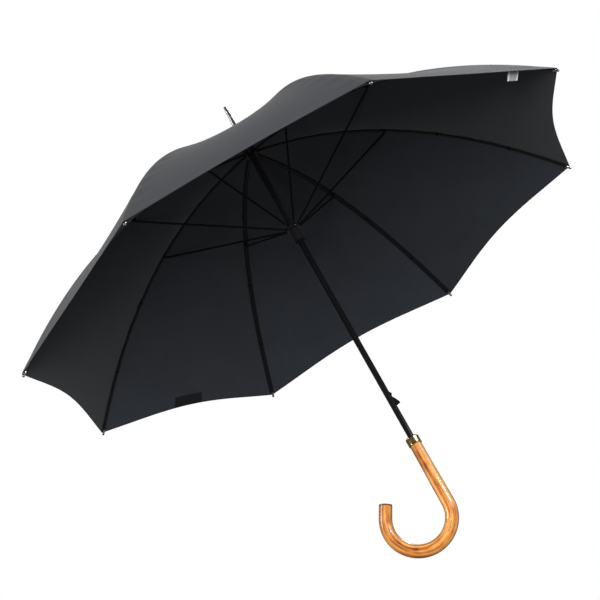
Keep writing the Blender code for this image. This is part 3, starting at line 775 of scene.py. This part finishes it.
disc_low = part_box("crown_patch")[0].z
disc = [
    (0.0054, disc_low + 0.0003),
    (0.0130, disc_low + 0.0003),
    (0.0200, disc_low),
    (0.0210, disc_low + 0.0002),
    (0.0210, disc_low + 0.0006),
    (0.0130, disc_low + 0.0010),
    (0.0054, disc_low + 0.0010),
]
crown = turned("crown_disc", rounded(disc, 0.0003), 64)
layer = crown.uv_layers.new(name="cloth")
spare = crown.uv_layers.new(name="hem")
for loop in crown.loops:
    spot = crown.vertices[loop.vertex_index].co
    layer.data[loop.index].uv = (spot.x + 0.05, spot.y + 0.05)
    spare.data[loop.index].uv = (0.1, 0.0)
disc_piece = piece("crown_disc", crown, cloth, "stick", ["crown_patch"])


# Thread ties: at two places along each rib the seam is whipped to the rib with a few turns of black thread.

thread = Finish("black_thread", base_color=(0.003, 0.003, 0.0035, 1), roughness=0.9, specular_ior_level=0.1)
ply = thread.noise(thread.where(), 2500.0, 2.0)
thread.relief(ply, 0.0001, 0.5)
whipping = Maker(
    "thread_turns", Turns="Int", Pitch="Float", Width="Float", Height="Float", Thread_Radius="Float"
)
inlet = whipping.inlet
step = whipping.add("ShaderNodeCombineXYZ", None, {"X": inlet["Pitch"]})
line = whipping.add("GeometryNodeMeshLine", {"mode": "OFFSET"}, {"Count": inlet["Turns"], "Offset": step})
loop_curve = whipping.add(
    "GeometryNodeCurvePrimitiveQuadrilateral", None, {"Width": inlet["Width"], "Height": inlet["Height"]}
)
corners = {"Curve": loop_curve, "Radius": 0.0013, "Count": 4}
soft_loop = whipping.add("GeometryNodeFilletCurve", {"mode": "POLY"}, corners)
upright = whipping.add(
    "GeometryNodeTransform", None, {"Geometry": soft_loop, "Rotation": (math.pi / 2, 0.0, math.pi / 2)}
)
gauge = {"Resolution": 6, "Radius": inlet["Thread Radius"]}
strand = whipping.add("GeometryNodeCurvePrimitiveCircle", None, gauge)
one_turn = whipping.add("GeometryNodeCurveToMesh", None, {"Curve": upright, "Profile Curve": strand})
turns = whipping.add("GeometryNodeInstanceOnPoints", None, {"Points": line, "Instance": one_turn})
whipping.close(turns)
tie_values = {
    "Turns": 4,
    "Pitch": 0.0006,
    "Width": 0.0050,
    "Height": 0.0046,
    "Thread Radius": 0.0003,
    "Finish": thread.material,
}
tie_mesh = grown("rib_tie", whipping.tree, tie_values)
tie_offset = Matrix.Translation((-0.0009, 0, 0.0004))
tie_pair = []
for r in (0.330, 0.438):
    one = tie_mesh.copy()
    one.transform(Matrix.Translation((r, 0, dome(r))) @ Matrix.Rotation(dome_slope(r), 4, "Y") @ tie_offset)
    tie_pair.append(one)
rib_ties = joined("rib_ties", tie_pair)
for number in range(1, RIBS + 1):
    piece(f"rib_ties_{number}", at_rib(rib_ties, number), thread, f"rib_{number}", sharp=80)


# Tie strap: the closing strap is a strip of black fuzzy tape that lies flat along the hem, crowned a little,
# with rounded long edges.

strap_web = Finish("strap_web", roughness=0.95, specular_ior_level=0.1)
web_place = strap_web.map("cloth")
loops = strap_web.noise(web_place, 900.0, 3.0)
strap_web.vary("Base Color", strap_web.mixed(loops, (0.0070, 0.0073, 0.0083), (0.0140, 0.0147, 0.0165)))
strap_web.relief(loops, 0.0003, 0.6)
strap_rows, strap_columns, strap_rib = 10, 24, 4
strap_low, strap_high, strap_near, strap_far = 0.964, 0.997, -1.12, -0.80
strap_gap, strap_thickness, strap_crown = 0.0007, 0.0008, 0.0006
strap_points, strap_places = [], []
for layer in (0, 1):
    for i in range(strap_rows + 1):
        share = strap_low + (strap_high - strap_low) * i / strap_rows
        edge = min(i / strap_rows, 1 - i / strap_rows) * 2
        crown_rise = -strap_crown * (1 - (1 - edge) ** 4)
        for j in range(strap_columns + 1):
            side = strap_near + (strap_far - strap_near) * j / strap_columns
            spot, flat, _ = canopy_place(share, side)
            rise = crown_rise + (-strap_gap if layer else -strap_gap - strap_thickness)
            strap_points.append((spot[0], spot[1], spot[2] + rise))
            strap_places.append(flat)
strap_maps = {"cloth": strap_places, "hem": [(0.1, 0.0)] * len(strap_points)}
strap_mesh = closed_mesh("tie_strap_cloth", strap_points, slab_faces(strap_rows, strap_columns), strap_maps)
strap_mesh = at_rib(strap_mesh, strap_rib)
strap = piece("tie_strap_cloth", strap_mesh, strap_web, "rib_4", ["tie_strap"], 80)
gathered(strap, strap_rib, -1)


# Care label: a pale satin tape without any print, doubled and sewn into the hem so that it stands off the
# cloth.

satin = Finish("label_satin", sheen_weight=0.2, roughness=0.6)
tape_place = satin.map("cloth")
fine = satin.noise(satin.stretched(tape_place, (3000.0, 500.0, 1.0)), 1.0, 2.0)
selvage = (satin.part_of(tape_place, 0) - 0.0097).math("ABSOLUTE").band(0.0068, 0.0078)
ground = satin.mixed(fine, (0.13, 0.13, 0.135), (0.20, 0.20, 0.21))
satin.vary("Base Color", satin.mixed(selvage, ground, (0.36, 0.36, 0.38)))
satin.relief(fine + selvage, 0.00012, 0.5)
label_share, label_sides = 0.978, (-0.41, -0.31)
root_low, root_high = (Vector(canopy_place(label_share, side)[0]) for side in label_sides)
inward = Vector((-0.60 * math.cos(half_gore) - 0.08, 0.60 * math.sin(half_gore) - 0.20, -0.75)).normalized()
facing = Vector((-0.75 * math.cos(half_gore), 0.75 * math.sin(half_gore), 0.66)).normalized()
tape_reach, fold_radius, tape_thickness = 0.0160, 0.00045, 0.00022
tape_path = [(tape_reach * i / 16, fold_radius + 0.0004 * math.sin(math.pi * i / 16)) for i in range(17)]
for i in range(1, 8):
    turn = math.pi * i / 8
    tape_path.append((tape_reach + fold_radius * math.sin(turn), fold_radius * math.cos(turn)))
tape_path += [(along, -off) for along, off in reversed(tape_path[:17])]
tape_rings, tape_places, run = [], [], 0.0
for i, (along, off) in enumerate(tape_path):
    before, after = tape_path[max(i - 1, 0)], tape_path[min(i + 1, len(tape_path) - 1)]
    step = Vector((after[0] - before[0], after[1] - before[1])).normalized()
    run += math.dist(before, (along, off))
    ring = []
    for j in range(16):
        across = min(j, 15 - j) / 7
        half = tape_thickness / 2 * (1 if j < 8 else -1)
        base = root_low.lerp(root_high, across) + inward * 0.0008
        ring.append(base + inward * (along - step.y * half) + facing * (off + step.x * half))
        tape_places.append((across * (root_high - root_low).length, run))
    tape_rings.append(ring)
tape = lofted("care_label_tape", tape_rings, {"cloth": tape_places})
label = piece("care_label_tape", at_rib(tape, 8), satin, "rib_8", ["care_label"], 50)
gathered(label, 8, -1)


# Studio: a pale floor well below the umbrella, a white surround, a broad light at the upper left, fill from
# the front and from below, and small lights at the right that draw the glints on shaft, wood and brass.

floor_mesh = bpy.data.meshes.new("floor")
floor_z, floor_reach = -0.95, 9
corners = [(floor_reach * x, floor_reach * y, floor_z) for x, y in ((-1, -1), (1, -1), (1, 1), (-1, 1))]
floor_mesh.from_pydata(corners, [], [(0, 1, 2, 3)])
floor = bpy.data.objects.new("floor", floor_mesh)
bpy.context.scene.collection.objects.link(floor)
grey, white = (0.5, 0.5, 0.5, 1), (1, 1, 1, 1)
pale = Finish("pale_floor", base_color=grey, roughness=0.9, emission_color=white, emission_strength=0.45)
floor_mesh.materials.append(pale.material)
floor.visible_glossy = False
floor.visible_diffuse = False

surround = bpy.data.worlds.new("surround")
surround.use_nodes = True
bpy.context.scene.world = surround
sky = Graph(surround.node_tree)
seen = sky.add("ShaderNodeLightPath", output="Is Camera Ray")
mirrored = sky.add("ShaderNodeLightPath", output="Is Glossy Ray")
glow = (seen * 0.87) - (mirrored * 0.03) + 0.13
surround.node_tree.links.new(glow.socket, surround.node_tree.nodes["Background"].inputs["Strength"])
surround.node_tree.nodes["Background"].inputs["Color"].default_value = (1.0, 1.0, 1.0, 1)


def soft_light(name, place, target, width, height, power, mirrored=True):
    """A soft light. Only one that is mirrored shows in gloss."""
    lamp = bpy.data.lights.new(name, "AREA")
    lamp.shape = "ELLIPSE"
    lamp.size, lamp.size_y, lamp.energy = width, height, power
    made = bpy.data.objects.new(name, lamp)
    made.location = place
    made.rotation_euler = (Vector(target) - Vector(place)).to_track_quat("-Z", "Y").to_euler()
    made.visible_glossy = mirrored
    bpy.context.scene.collection.objects.link(made)


soft_light("key", (-2.4, -1.2, 1.7), (0, 0, 0.6), 1.2, 1.2, 29.0)
soft_light("front", (0.0, -3.0, 0.1), (0, 0, 0.35), 1.2, 1.2, 125.0, mirrored=False)
soft_light("back", (1.6, 2.6, 2.2), (0, 0, 0.5), 1.2, 1.2, 26.0)
soft_light("low", (-0.5, -2.2, -0.75), (0, 0, 0.5), 0.6, 0.6, 14.0, mirrored=False)
soft_light("card", (1.3, -0.75, 0.22), (0, 0, 0.0), 2.0, 0.6, 8.0)
soft_light("line", (1.9, -1.3, 0.48), (0, 0, 0.0), 0.25, 0.25, 10.0)

camera = bpy.data.objects.new("camera", bpy.data.cameras.new("camera"))
right, up = Vector((0.86838, 0.20199, -0.45290)), Vector((0.49523, -0.30562, 0.81323))
ahead = up.cross(right)
turn = Matrix((right, up, -ahead)).transposed().to_4x4()
camera_place = (0.0216, -2.5486, -0.6321)
camera.matrix_world = Matrix.Translation(camera_place) @ turn
camera.data.lens = 98.01
camera.data.sensor_width = 36.0
bpy.context.scene.collection.objects.link(camera)
bpy.context.scene.camera = camera
bpy.context.scene.view_settings.view_transform = "Standard"
